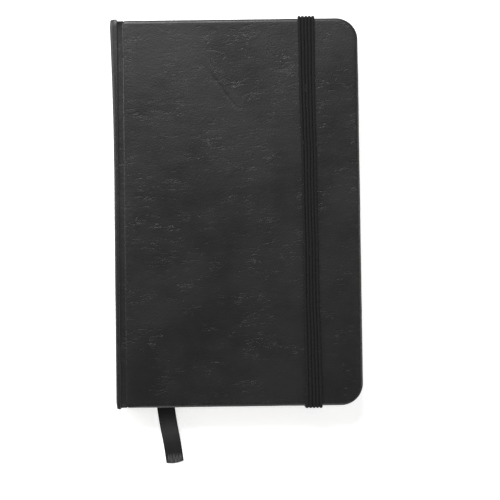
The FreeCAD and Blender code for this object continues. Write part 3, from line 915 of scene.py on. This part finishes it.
def ribbon_line(settings):
    """The ribbon's middle line: down the gutter, out to the tail, over the edge and down to the floor.

    Gives points and the direction across the ribbon at each of them.
    """
    half = settings.ribbon_width / 2
    z_in = MARKER_LOW.z + settings.ribbon_thickness / 2
    lean = settings.ribbon_lean
    gutter_x = MARKER_LOW.x + half
    hinge = ribbon_hinge()
    turn_y = hinge.y + (hinge.x - gutter_x) / math.tan(lean)
    points, across = [], []
    for y in np.linspace(MARKER_HIGH.y, turn_y + 8 * MM, 10):
        points.append((gutter_x, y, z_in))
        across.append(0.0)
    for t in np.linspace(0, 1, 9)[1:-1]:
        y = turn_y + 8 * MM - 16 * MM * t
        points.append((gutter_x + math.tan(lean) * 16 * MM * t * t / 2, y, z_in))
        across.append(lean * t)
    for t in np.linspace(0, 1, 34):
        y = turn_y - 8 * MM + (hinge.y - turn_y + 8 * MM) * t
        points.append((gutter_x + (turn_y - y) * math.tan(lean), y, z_in))
        across.append(lean)
    drop = z_in - TAIL_LOW.z - settings.ribbon_thickness / 2
    run = settings.ribbon_reach - settings.ribbon_lying
    bend = 2 * math.atan(drop / run)
    radius = run / (2 * math.sin(bend))
    down = Vector((math.sin(lean), -math.cos(lean), 0))
    for t in np.linspace(0, 1, 44)[1:]:
        gone = t * settings.ribbon_reach
        if gone < run / 2:
            fall = radius - math.sqrt(radius ** 2 - gone ** 2)
        elif gone < run:
            fall = drop - (radius - math.sqrt(radius ** 2 - (run - gone) ** 2))
        else:
            fall = drop
        points.append((hinge.x + down.x * gone, hinge.y + down.y * gone, z_in - fall))
        across.append(lean)
    return points, across


def ribbon_hinge():
    """Where the ribbon starts to bend, just past the tail edge."""
    joint = next(j for j in frame["joints"] if j["name"] == "ribbon_lift")
    return Vector(joint["pos_m"])


def ribbon_rings(settings):
    """Rings of the flat ribbon with thicker woven edges, and their places on the cloth."""
    points, turns = ribbon_line(settings)
    half, thick = settings.ribbon_width / 2, settings.ribbon_thickness / 2
    shares = np.array([-1, -0.97, -0.9, -0.82, -0.6, -0.4, -0.2, 0, 0.2, 0.4, 0.6, 0.82, 0.9, 0.97, 1.0])
    rings, places, gone = [], [], 0.0
    total = sum(math.dist(a, b) for a, b in zip(points, points[1:]))
    for k, (spot, turn) in enumerate(zip(points, turns)):
        if k:
            gone += math.dist(points[k - 1], points[k])
        left = total - gone
        free = float(smoothstep((settings.ribbon_reach - left) / (6 * MM)))
        seal = float(smoothstep(1 - left / (3.2 * MM)))
        side = Vector((math.cos(turn), math.sin(turn), 0))
        ahead = Vector((math.sin(turn), -math.cos(turn), 0))
        upper, lower, place_up, place_low = [], [], [], []
        for s in shares:
            cup = 0.16 * MM * (s * s - 0.35) * free * (1 - 0.75 * seal)
            pucker = 0.13 * MM * seal * abs(noise.noise(Vector((s * 4.1, gone / (1.4 * MM), 3.0))))
            edge = 0.03 * MM if 0.8 < abs(s) < 0.99 else 0.0
            body = thick * (0.35 if abs(s) == 1 else 0.8) + edge
            convex = (1 - s * s) * settings.ribbon_end_curve * float(smoothstep(1 - left / (2 * MM)))
            fray = 0.12 * MM * noise.noise(Vector((s * 9.0, 0.5, 1.0))) if left < 1e-7 else 0.0
            centre = Vector(spot) + side * (s * half) + ahead * (convex + fray)
            lift = max(0.0, cup + pucker) if spot[2] < 1 * MM else (cup + pucker if free else 0.0)
            upper.append(tuple(centre + Vector((0, 0, lift + body))))
            lower.append(tuple(centre + Vector((0, 0, lift - body))))
            place_up.append((s * half, gone))
            place_low.append((s * half, gone))
        rings.append(upper + lower[::-1])
        places.append(place_up + place_low[::-1])
    return rings, places, total


# ---------------------------------------------------------------- settings


def length(name, description, millimetres):
    """A length property, given in millimetres."""
    return bpy.props.FloatProperty(
        name=name, description=description, default=millimetres * MM, unit="LENGTH", precision=5)


def colour(name, description, value):
    """A colour property."""
    return bpy.props.FloatVectorProperty(
        name=name, description=description, default=value, subtype="COLOR", size=3, min=0.0, max=1.0)


class NotebookCaseSettings(bpy.types.PropertyGroup):
    """Sizes and finish of the leatherette case."""

    leather_colour: colour("Leatherette", "Colour of the covers and spine", (0.011, 0.011, 0.011))
    leather_roughness: bpy.props.FloatProperty(
        name="Roughness", description="How matt the leatherette is", default=0.4, min=0.0, max=1.0,
        subtype="FACTOR")
    grain_size: length("Grain size", "Width of one pebble of the grain", 0.55)
    grain_depth: bpy.props.FloatProperty(
        name="Grain", description="Depth of the pebbles", default=0.3, min=0.0, max=2.0)
    crease_depth: bpy.props.FloatProperty(
        name="Creases", description="Depth of the short creases", default=0.3, min=0.0, max=3.0)
    corner_radius: length("Corner radius", "Radius of the fore corners", 8.0)
    edge_roll: length("Edge roll", "How far the rounded edge reaches in from the side", 1.3)
    edge_drop: length("Edge drop", "How far the rounded edge falls", 0.85)
    wrap_thickness: length("Skin", "Thickness of the leatherette", 0.35)
    turn_in: length("Turn-in", "Width of the turned-in edges", 13.0)
    cover_wave: length("Unevenness", "Depth of the soft dips in the covers", 0.06)
    cover_cell: length("Mesh cell", "Cell size of the covers' mesh", 0.85)
    shoulder_radius: length("Shoulder radius", "Radius of the spine's long edges", 1.2)
    spine_flare: length("Spine flare", "How far the spine stands out at the head", 1.15)


class NotebookBlockSettings(bpy.types.PropertyGroup):
    """Sizes and finish of the pages."""

    page_colour: colour("Pages", "Colour of the writing paper", (0.78, 0.73, 0.6))
    endpaper_colour: colour("Endpapers", "Colour of the endpapers", (0.72, 0.67, 0.55))
    line_colour: colour("Ruling", "Colour of the ruled lines", (0.42, 0.42, 0.4))
    line_pitch: length("Line pitch", "Distance between ruled lines", 6.5)
    leaf_thickness: length("Leaf", "Thickness of one leaf", 0.095)
    unevenness: length("Unevenness", "How far the leaves lie out of line", 0.05)
    page_corner: length("Page corner", "Radius of the pages' fore corners", 6.0)
    seed: bpy.props.IntProperty(name="Seed", description="Seed of the leaves' places", default=4)
    stitch_length: length("Stitch", "Length of one stitch", 22.0)
    stitch_pitch: length("Stitch pitch", "Distance between stitches", 40.0)
    stitches: bpy.props.IntProperty(name="Stitches", description="Stitches in one fold", default=3, min=1)
    thread_radius: length("Thread radius", "Half the thread's thickness", 0.12)
    turn_width: length("Turning width", "Width over which a turning leaf bends", 20.0)


class NotebookClosureSettings(bpy.types.PropertyGroup):
    """Sizes and finish of the elastic band and the ribbon."""

    band_colour: colour("Elastic", "Colour of the elastic", (0.007, 0.007, 0.007))
    band_thickness: length("Band thickness", "Thickness of the elastic", 0.78)
    band_end_width: length("Band width", "Width at the covers' edges", 6.2)
    band_waist_width: length("Band waist", "Width at the middle, where it is stretched", 5.5)
    band_sway: length("Band sway", "How far the band wanders from a straight line", 0.18)
    rib_count: bpy.props.IntProperty(name="Ribs", description="Ribs across the elastic", default=5, min=1)
    rib_depth: length("Rib depth", "Depth of the grooves between ribs", 0.42)
    ribbon_colour: colour("Ribbon", "Colour of the ribbon", (0.011, 0.011, 0.011))
    ribbon_width: length("Ribbon width", "Width of the ribbon", 6.5)
    ribbon_thickness: length("Ribbon thickness", "Thickness of the ribbon", 0.25)
    ribbon_reach: length("Free end", "Length past the bend at the tail edge, in plan", 20.8)
    ribbon_lying: length("Lying end", "Length that lies on the ground", 2.0)
    ribbon_end_curve: length("End curve", "How far the cut end bows out", 0.5)
    ribbon_lean: bpy.props.FloatProperty(
        name="Lean", description="Angle between the free end and the spine", default=math.radians(7.4),
        subtype="ANGLE")


class NotebookStageSettings(bpy.types.PropertyGroup):
    """Floor, lights and camera."""

    floor_colour: colour("Floor", "Colour of the floor", (0.9, 0.9, 0.9))
    floor_glow: bpy.props.FloatProperty(
        name="Floor glow", description="Light that the floor gives off", default=0.7, min=0.0)
    key_power: bpy.props.FloatProperty(
        name="Key light", description="Power of the light at the head", default=10.0)
    side_power: bpy.props.FloatProperty(
        name="Side lights", description="Power of each side light", default=3.0)
    world_light: bpy.props.FloatProperty(
        name="Room light", description="Strength of the light all round", default=0.12)
    lens: bpy.props.FloatProperty(name="Lens", description="Focal length in millimetres", default=85.0)
    distance: length("Distance", "From the camera to the front cover", 428.3)
    tilt: bpy.props.FloatProperty(
        name="Tilt", description="Camera's lean towards the tail", default=math.radians(1.6), subtype="ANGLE")
    roll: bpy.props.FloatProperty(
        name="Roll", description="Camera's turn about its own axis", default=math.radians(-0.75),
        subtype="ANGLE")
    aim_x: length("Aim across", "Where the camera looks, across the book", 4.44)
    aim_y: length("Aim along", "Where the camera looks, along the book", -13.87)


# ---------------------------------------------------------------- operators


def set_down(piece, body, slot, *nodes):
    """A finished piece rides on a body and stands for its CAD nodes."""
    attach(piece, body)
    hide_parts(*nodes)


def set_bending(piece, bodies, start, end, slot, *nodes):
    """A finished piece bends between two bodies and stands for its CAD nodes."""
    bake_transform(piece, *bodies, start=start, end=end)
    if nodes:
        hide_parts(*nodes)


def repaint(node, material):
    """Gives a CAD node its finish."""
    piece = frame["nodes"][node]
    piece.data.materials.clear()
    piece.data.materials.append(material)


class NOTEBOOK_OT_covers(bpy.types.Operator):
    """Wrap both covers in leatherette"""

    bl_idname = "notebook.covers"
    bl_label = "Covers"
    bl_options = {"REGISTER", "UNDO"}

    def execute(self, context):
        settings = context.scene.notebook_case
        for side, outward in (("front", 1), ("back", -1)):
            low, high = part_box(f"{side}_cover_wrap")
            piece = cover_skin(f"{side}_cover_leatherette", low, high, outward, settings,
                               leatherette(settings))
            set_down(piece, f"{side}_cover", "leatherette", f"{side}_cover_wrap")
        return {"FINISHED"}


class NOTEBOOK_OT_spine(bpy.types.Operator):
    """Wrap the spine, with its caps and shoulders"""

    bl_idname = "notebook.spine"
    bl_label = "Spine"
    bl_options = {"REGISTER", "UNDO"}

    def execute(self, context):
        settings = context.scene.notebook_case
        set_down(spine_skin(settings, leatherette(settings)), "spine", "leatherette", "spine_wrap")
        return {"FINISHED"}


class NOTEBOOK_OT_grooves(bpy.types.Operator):
    """Lay the flexible strips in the two grooves beside the spine"""

    bl_idname = "notebook.grooves"
    bl_label = "Grooves"
    bl_options = {"REGISTER", "UNDO"}

    def execute(self, context):
        settings = context.scene.notebook_case
        for side, outward in (("front", 1), ("back", -1)):
            piece = groove_skin(f"{side}_groove", outward, leatherette(settings))
            low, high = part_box(f"{side}_joint")
            level = low.z
            cover, spine = (high.x, 0, level), (low.x, 0, level)
            set_bending(piece, (f"{side}_cover", "spine"), cover, spine, "leatherette", f"{side}_joint")
        return {"FINISHED"}


class NOTEBOOK_OT_boards(bpy.types.Operator):
    """Give the boards and the spine card their grey pulp finish"""

    bl_idname = "notebook.boards"
    bl_label = "Boards"
    bl_options = {"REGISTER", "UNDO"}

    def execute(self, context):
        for node in ("front_board", "back_board", "spine_card"):
            repaint(node, board_stock())
        return {"FINISHED"}


class NOTEBOOK_OT_endpapers(bpy.types.Operator):
    """Give the endpapers their paper finish"""

    bl_idname = "notebook.endpapers"
    bl_label = "Endpapers"
    bl_options = {"REGISTER", "UNDO"}

    def execute(self, context):
        material = paper("ivory_endpaper", context.scene.notebook_block.endpaper_colour)
        for node in ("front_pastedown", "back_pastedown", "front_flyleaf", "back_flyleaf"):
            repaint(node, material)
        return {"FINISHED"}


def ruled_paper(settings):
    """The writing paper, with its faint lines."""
    return paper("ivory_page", settings.page_colour, (settings.line_pitch, tuple(settings.line_colour)))


class NOTEBOOK_OT_signatures(bpy.types.Operator):
    """Stack the leaves of each signature and join them at their folds"""

    bl_idname = "notebook.signatures"
    bl_label = "Signatures"
    bl_options = {"REGISTER", "UNDO"}

    def execute(self, context):
        settings = context.scene.notebook_block
        material = ruled_paper(settings)
        tree, sockets = stacking_tree()
        thickness = settings.leaf_thickness
        for number in range(1, 11):
            node = f"signature_{number:02d}"
            low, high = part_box(node)
            leaves = round((high.z - low.z) / thickness)
            start = low.x + (high.z - low.z) / 2
            corner = settings.page_corner
            body = leaf_rings(page_stations(start, corner), low.z, thickness * LEAF_FILL, corner)
            piece = loft_piece(f"leaves_{number:02d}", body, material, smooth=False)
            apply_nodes(piece, tree, sockets, {
                "Leaves": leaves, "Pitch": thickness, "Unevenness": settings.unevenness,
                "Seed": settings.seed + number, "Paper": material,
            })
            folds = join_meshes(f"folds_{number:02d}", fold_parts(low.z, high.z, leaves, thickness), material)
            set_down(piece, signature_body(number), "page_paper", node)
            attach(folds, body_of(piece)[0])
        return {"FINISHED"}


def signature_body(number):
    """The body that a signature rides on: the outermost two are tipped to the covers."""
    return {1: "back_cover", 10: "front_cover"}.get(number, f"signature_{number:02d}")


class NOTEBOOK_OT_turning_leaves(bpy.types.Operator):
    """Make the two leaves at the middle, which bend as the book opens"""

    bl_idname = "notebook.turning_leaves"
    bl_label = "Turning leaves"
    bl_options = {"REGISTER", "UNDO"}

    def execute(self, context):
        settings = context.scene.notebook_block
        for name, host in (("turning_leaf_lower", "signature_05"), ("turning_leaf_upper", "signature_06")):
            low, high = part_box(name)
            stations = page_stations(low.x, settings.page_corner, 48)
            rings = leaf_rings(stations, low.z, high.z - low.z, settings.page_corner)
            piece = loft_piece(f"{name}_sheet", rings, ruled_paper(settings), sharp=35)
            start, end = (low.x, 0, low.z), (low.x + settings.turn_width, 0, low.z)
            set_bending(piece, (host, name), start, end, "page_paper", name)
        return {"FINISHED"}


class NOTEBOOK_OT_stitches(bpy.types.Operator):
    """Sew each signature through its fold"""

    bl_idname = "notebook.stitches"
    bl_label = "Stitches"
    bl_options = {"REGISTER", "UNDO"}

    def execute(self, context):
        settings = context.scene.notebook_block
        material = woven("sewing_thread", (0.75, 0.73, 0.68), 0.8, 0.00012, 0.0002, 0.00003)
        tree, sockets = stitch_tree()
        for number in range(1, 11):
            node = f"sewing_thread_{number:02d}"
            low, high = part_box(node)
            rings = stitch_rings(settings.stitch_length, settings.thread_radius)
            uv = [[(0.0001 * j, ring[0][1]) for j in range(len(ring))] for ring in rings]
            piece = loft_piece(f"stitches_{number:02d}", rings, material, uv=uv, sharp=70)
            first = -settings.stitch_pitch * (settings.stitches - 1) / 2
            start = Vector((high.x - settings.thread_radius, first, (low.z + high.z) / 2))
            apply_nodes(piece, tree, sockets, {
                "Stitches": settings.stitches, "Pitch": settings.stitch_pitch, "Start": start,
                "Thread": material,
            })
            set_down(piece, signature_body(number), "thread", node)
        return {"FINISHED"}


class NOTEBOOK_OT_lining(bpy.types.Operator):
    """Glue the open-weave strip along the folds, in two halves"""

    bl_idname = "notebook.lining"
    bl_label = "Spine lining"
    bl_options = {"REGISTER", "UNDO"}

    def execute(self, context):
        material = woven("open_weave", (0.7, 0.68, 0.62), 0.9, 0.0007, 0.0007, 0.00015)
        middle = BOOK_TOP / 2
        for name, cover, host, z0, z1 in (
            ("lining_lower", "back_cover", "signature_05", LINING_LOW.z, middle),
            ("lining_upper", "front_cover", "signature_06", LINING_HIGH.z, middle),
        ):
            levels = np.linspace(z0, z1, 15)
            rings, places = [], []
            for z in levels:
                rings.append([(LINING_LOW.x, LINING_LOW.y, z), (LINING_HIGH.x - SKIN_GAP, LINING_LOW.y, z),
                              (LINING_HIGH.x - SKIN_GAP, LINING_HIGH.y, z), (LINING_LOW.x, LINING_HIGH.y, z)])
                places.append([(z, LINING_LOW.y), (z, LINING_LOW.y), (z, LINING_HIGH.y), (z, LINING_HIGH.y)])
            piece = loft_piece(name, rings, material, uv=places, sharp=35)
            step = (z1 - z0) / 5
            start = (LINING_LOW.x, 0, z0 - 0.2 * step)
            end = (LINING_LOW.x, 0, z0 + 4.4 * step)
            set_bending(piece, (cover, host), start, end, "lining_cloth", "spine_lining")
        return {"FINISHED"}


def band_middle_x(side, z):
    """The band's middle line at one height of the leg at the head (1) or the tail (-1)."""
    foot = (ANCHOR_LOW.x + ANCHOR_HIGH.x) / 2
    strand_side = LEG_LOW.x if side > 0 else TAIL_LEG_HIGH.x
    half = (ANCHOR_HIGH.x - ANCHOR_LOW.x) / 2
    top = strand_side + half if side > 0 else strand_side - half
    share = (z - LEG_LOW.z) / (LEG_HIGH.z - LEG_LOW.z)
    return foot + (top - foot) * min(max(share, 0.0), 1.0)


def bend_points(y, z, radius, first, last, steps=7):
    """Points and normals round a bend's centre in the y-z plane, between two angles."""
    turn = np.radians(np.linspace(first, last, steps))
    return [((y + radius * math.cos(a), z + radius * math.sin(a)), (math.cos(a), math.sin(a))) for a in turn]


def strand_line(settings):
    """The strand's points, normals and widths, from one leg over the cover to the other."""
    y, z = (LEG_LOW.y + LEG_HIGH.y) / 2, (STRAND_LOW.z + STRAND_HIGH.z) / 2
    radius, foot = 0.55 * MM, STRAND_LOW.z - LEG_OVERLAP
    run = [((-y, foot), (-1.0, 0.0))]
    run += bend_points(-y + radius, z - radius, radius, 180, 90)
    run += [((along, z), (0.0, 1.0)) for along in np.linspace(-y + radius, y - radius, 100)[1:-1]]
    run += bend_points(y - radius, z - radius, radius, 90, 0)
    run += [((y, foot), (1.0, 0.0))]
    tail_x, head_x = band_middle_x(-1, LEG_HIGH.z), band_middle_x(1, LEG_HIGH.z)
    path, normals, widths = [], [], []
    for (at, height), normal in run:
        share = (at + y) / (2 * y)
        x = tail_x + (head_x - tail_x) * share
        if height < z - radius:
            x = band_middle_x(1 if at > 0 else -1, height)
        waist = 1 - (2 * share - 1) ** 2
        path.append((x, at, height))
        normals.append(normal)
        widths.append(settings.band_end_width - (settings.band_end_width - settings.band_waist_width) * waist)
    return path, normals, widths


class NOTEBOOK_OT_band(bpy.types.Operator):
    """Weave the ribbed elastic band: its strand, its two legs and its two anchored ends"""

    bl_idname = "notebook.band"
    bl_label = "Elastic band"
    bl_options = {"REGISTER", "UNDO"}

    def execute(self, context):
        settings = context.scene.notebook_closure
        material = woven("ribbed_elastic", tuple(settings.band_colour), 0.75, 0.00042, 0.00046, 0.00007,
                         sheen=0.12)
        rings, places = band_rings(*strand_line(settings), settings, 2.0)
        strand = loft_piece("band_strand", rings, material, uv=places, sharp=80)
        store_groove_shade(strand, settings)
        set_down(strand, "elastic_strand", "elastic", "elastic_strand")
        foot, top = LEG_LOW.z, STRAND_LOW.z - LEG_OVERLAP
        y = (LEG_LOW.y + LEG_HIGH.y) / 2
        anchor_z = (ANCHOR_LOW.z + ANCHOR_HIGH.z) / 2
        radius, width = foot - anchor_z, settings.band_end_width
        for side, name in ((1, "head"), (-1, "tail")):
            path = [(band_middle_x(side, z), side * y, z) for z in np.linspace(foot, top, 14)]
            rings, places = band_rings(path, [(side, 0.0)] * len(path), [width] * len(path), settings, 0.0)
            leg = loft_piece(f"band_{name}_leg", rings, material, uv=places, sharp=80)
            store_groove_shade(leg, settings)
            middle = band_middle_x(side, foot)
            set_bending(leg, ("elastic_legs", "elastic_strand"), (middle, side * y, foot + 0.2 * MM),
                        (middle, side * y, top), "elastic", f"elastic_{name}_leg")
            run = [((side * at, anchor_z), (0.0, -1.0))
                   for at in np.linspace(ANCHOR_LOW.y, y - radius, 16)[:-1]]
            run += [((side * at, z), (side * ny, nz)) for (at, z), (ny, nz) in
                    bend_points(y - radius, foot, radius, -90, 0)]
            path = [(middle, at, z) for (at, z), _ in run]
            rings, places = band_rings(path, [n for _, n in run], [width] * len(run), settings, 0.0)
            anchor = loft_piece(f"band_{name}_anchor", rings, material, uv=places, sharp=80)
            store_groove_shade(anchor, settings)
            set_down(anchor, "back_cover", "elastic", f"elastic_{name}_anchor")
        return {"FINISHED"}


class NOTEBOOK_OT_ribbon(bpy.types.Operator):
    """Lay the ribbon marker down the gutter and out over the tail edge"""

    bl_idname = "notebook.ribbon"
    bl_label = "Ribbon"
    bl_options = {"REGISTER", "UNDO"}

    def execute(self, context):
        settings = context.scene.notebook_closure
        rings, places, total = ribbon_rings(settings)
        pale = (total - 3.4 * MM, total - 1.0 * MM, settings.ribbon_width / 2)
        material = woven("satin_ribbon", tuple(settings.ribbon_colour), 0.5, 0.00026, 0.00034, 0.00003,
                         sheen=0.1, end_light=pale)
        ribbon = loft_piece("ribbon", rings, material, uv=places, sharp=60)
        hinge = ribbon_hinge()
        lean = settings.ribbon_lean
        ahead = Vector((math.sin(lean), -math.cos(lean), 0))
        set_bending(ribbon, ("signature_05", "ribbon_tail"), tuple(hinge - 0.4 * MM * ahead),
                    tuple(hinge + 2.5 * MM * ahead), "ribbon", "ribbon_marker", "ribbon_tail")
        return {"FINISHED"}


def area_light(name, place, size, power, aim=(0, 0, 0)):
    """A square light that faces a point."""
    data = bpy.data.lights.new(name, "AREA")
    data.shape, data.size, data.energy = "SQUARE", size, power
    light = bpy.data.objects.new(name, data)
    light.location = place
    light.rotation_euler = (Vector(aim) - Vector(place)).to_track_quat("-Z", "Y").to_euler()
    bpy.context.scene.collection.objects.link(light)
    return light


KEY_PLACE, KEY_SIZE = (-0.2, 0.72, 0.84), 0.45
SIDE_SIZE = 0.6
SIDE_LIGHTS = (  # name, place, share of the side lights' power
    ("left_light", (-0.85, 0.4, 0.42), 1.6),
    ("right_light", (1.0, 0.0, 0.5), 1.0),
    ("tail_light", (0.1, -1.1, 0.45), 1.0),
)


class NOTEBOOK_OT_stage(bpy.types.Operator):
    """Set out the floor, the lights and the camera"""

    bl_idname = "notebook.stage"
    bl_label = "Stage"
    bl_options = {"REGISTER", "UNDO"}

    def execute(self, context):
        scene = context.scene
        settings = scene.notebook_stage
        tone = tuple(settings.floor_colour)
        material, tree, shader = new_material("floor", tone, 0.9, Emission_Strength=settings.floor_glow)
        grain = noise_value(tree, object_coordinates(tree), 30.0, 3.0)
        shade = mix_colours(tree, grain, (*(c * 0.98 for c in tone), 1.0), (*tone, 1.0))
        tree.links.new(shade, shader.inputs["Base Color"])
        shader.inputs["Emission Color"].default_value = (*tone, 1.0)
        level = -BASE_GAP
        corners = [(-2.5, -2.5, level), (2.5, -2.5, level), (2.5, 2.5, level), (-2.5, 2.5, level)]
        floor = make_piece("floor", corners, [(0, 1, 2, 3)], material, smooth=False)
        world = bpy.data.worlds.new("studio")
        world.use_nodes = True
        world.node_tree.nodes["Background"].inputs["Color"].default_value = (1.0, 1.0, 1.0, 1.0)
        world.node_tree.nodes["Background"].inputs["Strength"].default_value = settings.world_light
        scene.world = world
        area_light("key_light", KEY_PLACE, KEY_SIZE, settings.key_power)
        for name, place, share in SIDE_LIGHTS:
            area_light(name, place, SIDE_SIZE, share * settings.side_power)
        data = bpy.data.cameras.new("camera")
        data.lens, data.sensor_width = settings.lens, 36.0
        camera = bpy.data.objects.new("camera", data)
        turn = Matrix.Rotation(settings.tilt, 4, "X") @ Matrix.Rotation(settings.roll, 4, "Z")
        aim = Vector((settings.aim_x, settings.aim_y, BOOK_TOP))
        camera.matrix_world = Matrix.Translation(aim) @ turn @ Matrix.Translation((0, 0, settings.distance))
        data.clip_start, data.clip_end = 0.01, 20.0
        scene.collection.objects.link(camera)
        scene.camera = camera
        scene.view_settings.view_transform = "Standard"
        return {"FINISHED"}


# ---------------------------------------------------------------- panel and registration

PIECE_OPERATORS = (
    NOTEBOOK_OT_covers, NOTEBOOK_OT_spine, NOTEBOOK_OT_grooves, NOTEBOOK_OT_boards, NOTEBOOK_OT_endpapers,
    NOTEBOOK_OT_signatures, NOTEBOOK_OT_turning_leaves, NOTEBOOK_OT_stitches, NOTEBOOK_OT_lining,
    NOTEBOOK_OT_band, NOTEBOOK_OT_ribbon, NOTEBOOK_OT_stage,
)
SETTINGS = {
    "notebook_case": NotebookCaseSettings, "notebook_block": NotebookBlockSettings,
    "notebook_closure": NotebookClosureSettings, "notebook_stage": NotebookStageSettings,
}


class NOTEBOOK_PT_build(bpy.types.Panel):
    """Buttons that build the notebook, and its settings."""

    bl_label = "Pocket Notebook"
    bl_idname = "NOTEBOOK_PT_build"
    bl_space_type = "VIEW_3D"
    bl_region_type = "UI"
    bl_category = "Notebook"

    def draw(self, context):
        for operator in PIECE_OPERATORS:
            self.layout.operator(operator.bl_idname)
        for name, group in SETTINGS.items():
            box = self.layout.box()
            for label in group.__annotations__:
                box.prop(getattr(context.scene, name), label)


def register():
    """Registers the settings, the operators and the panel."""
    for group in (*SETTINGS.values(), *PIECE_OPERATORS, NOTEBOOK_PT_build):
        bpy.utils.register_class(group)
    for name, group in SETTINGS.items():
        setattr(bpy.types.Scene, name, bpy.props.PointerProperty(type=group))


def unregister():
    """Takes the settings, the operators and the panel away again."""
    for name in SETTINGS:
        delattr(bpy.types.Scene, name)
    for group in (NOTEBOOK_PT_build, *reversed(PIECE_OPERATORS), *SETTINGS.values()):
        bpy.utils.unregister_class(group)


def main():
    """Builds every piece and the stage."""
    register()
    for operator in PIECE_OPERATORS:
        group, name = operator.bl_idname.split(".")
        getattr(getattr(bpy.ops, group), name)()


if __name__ == "__main__":
    main()
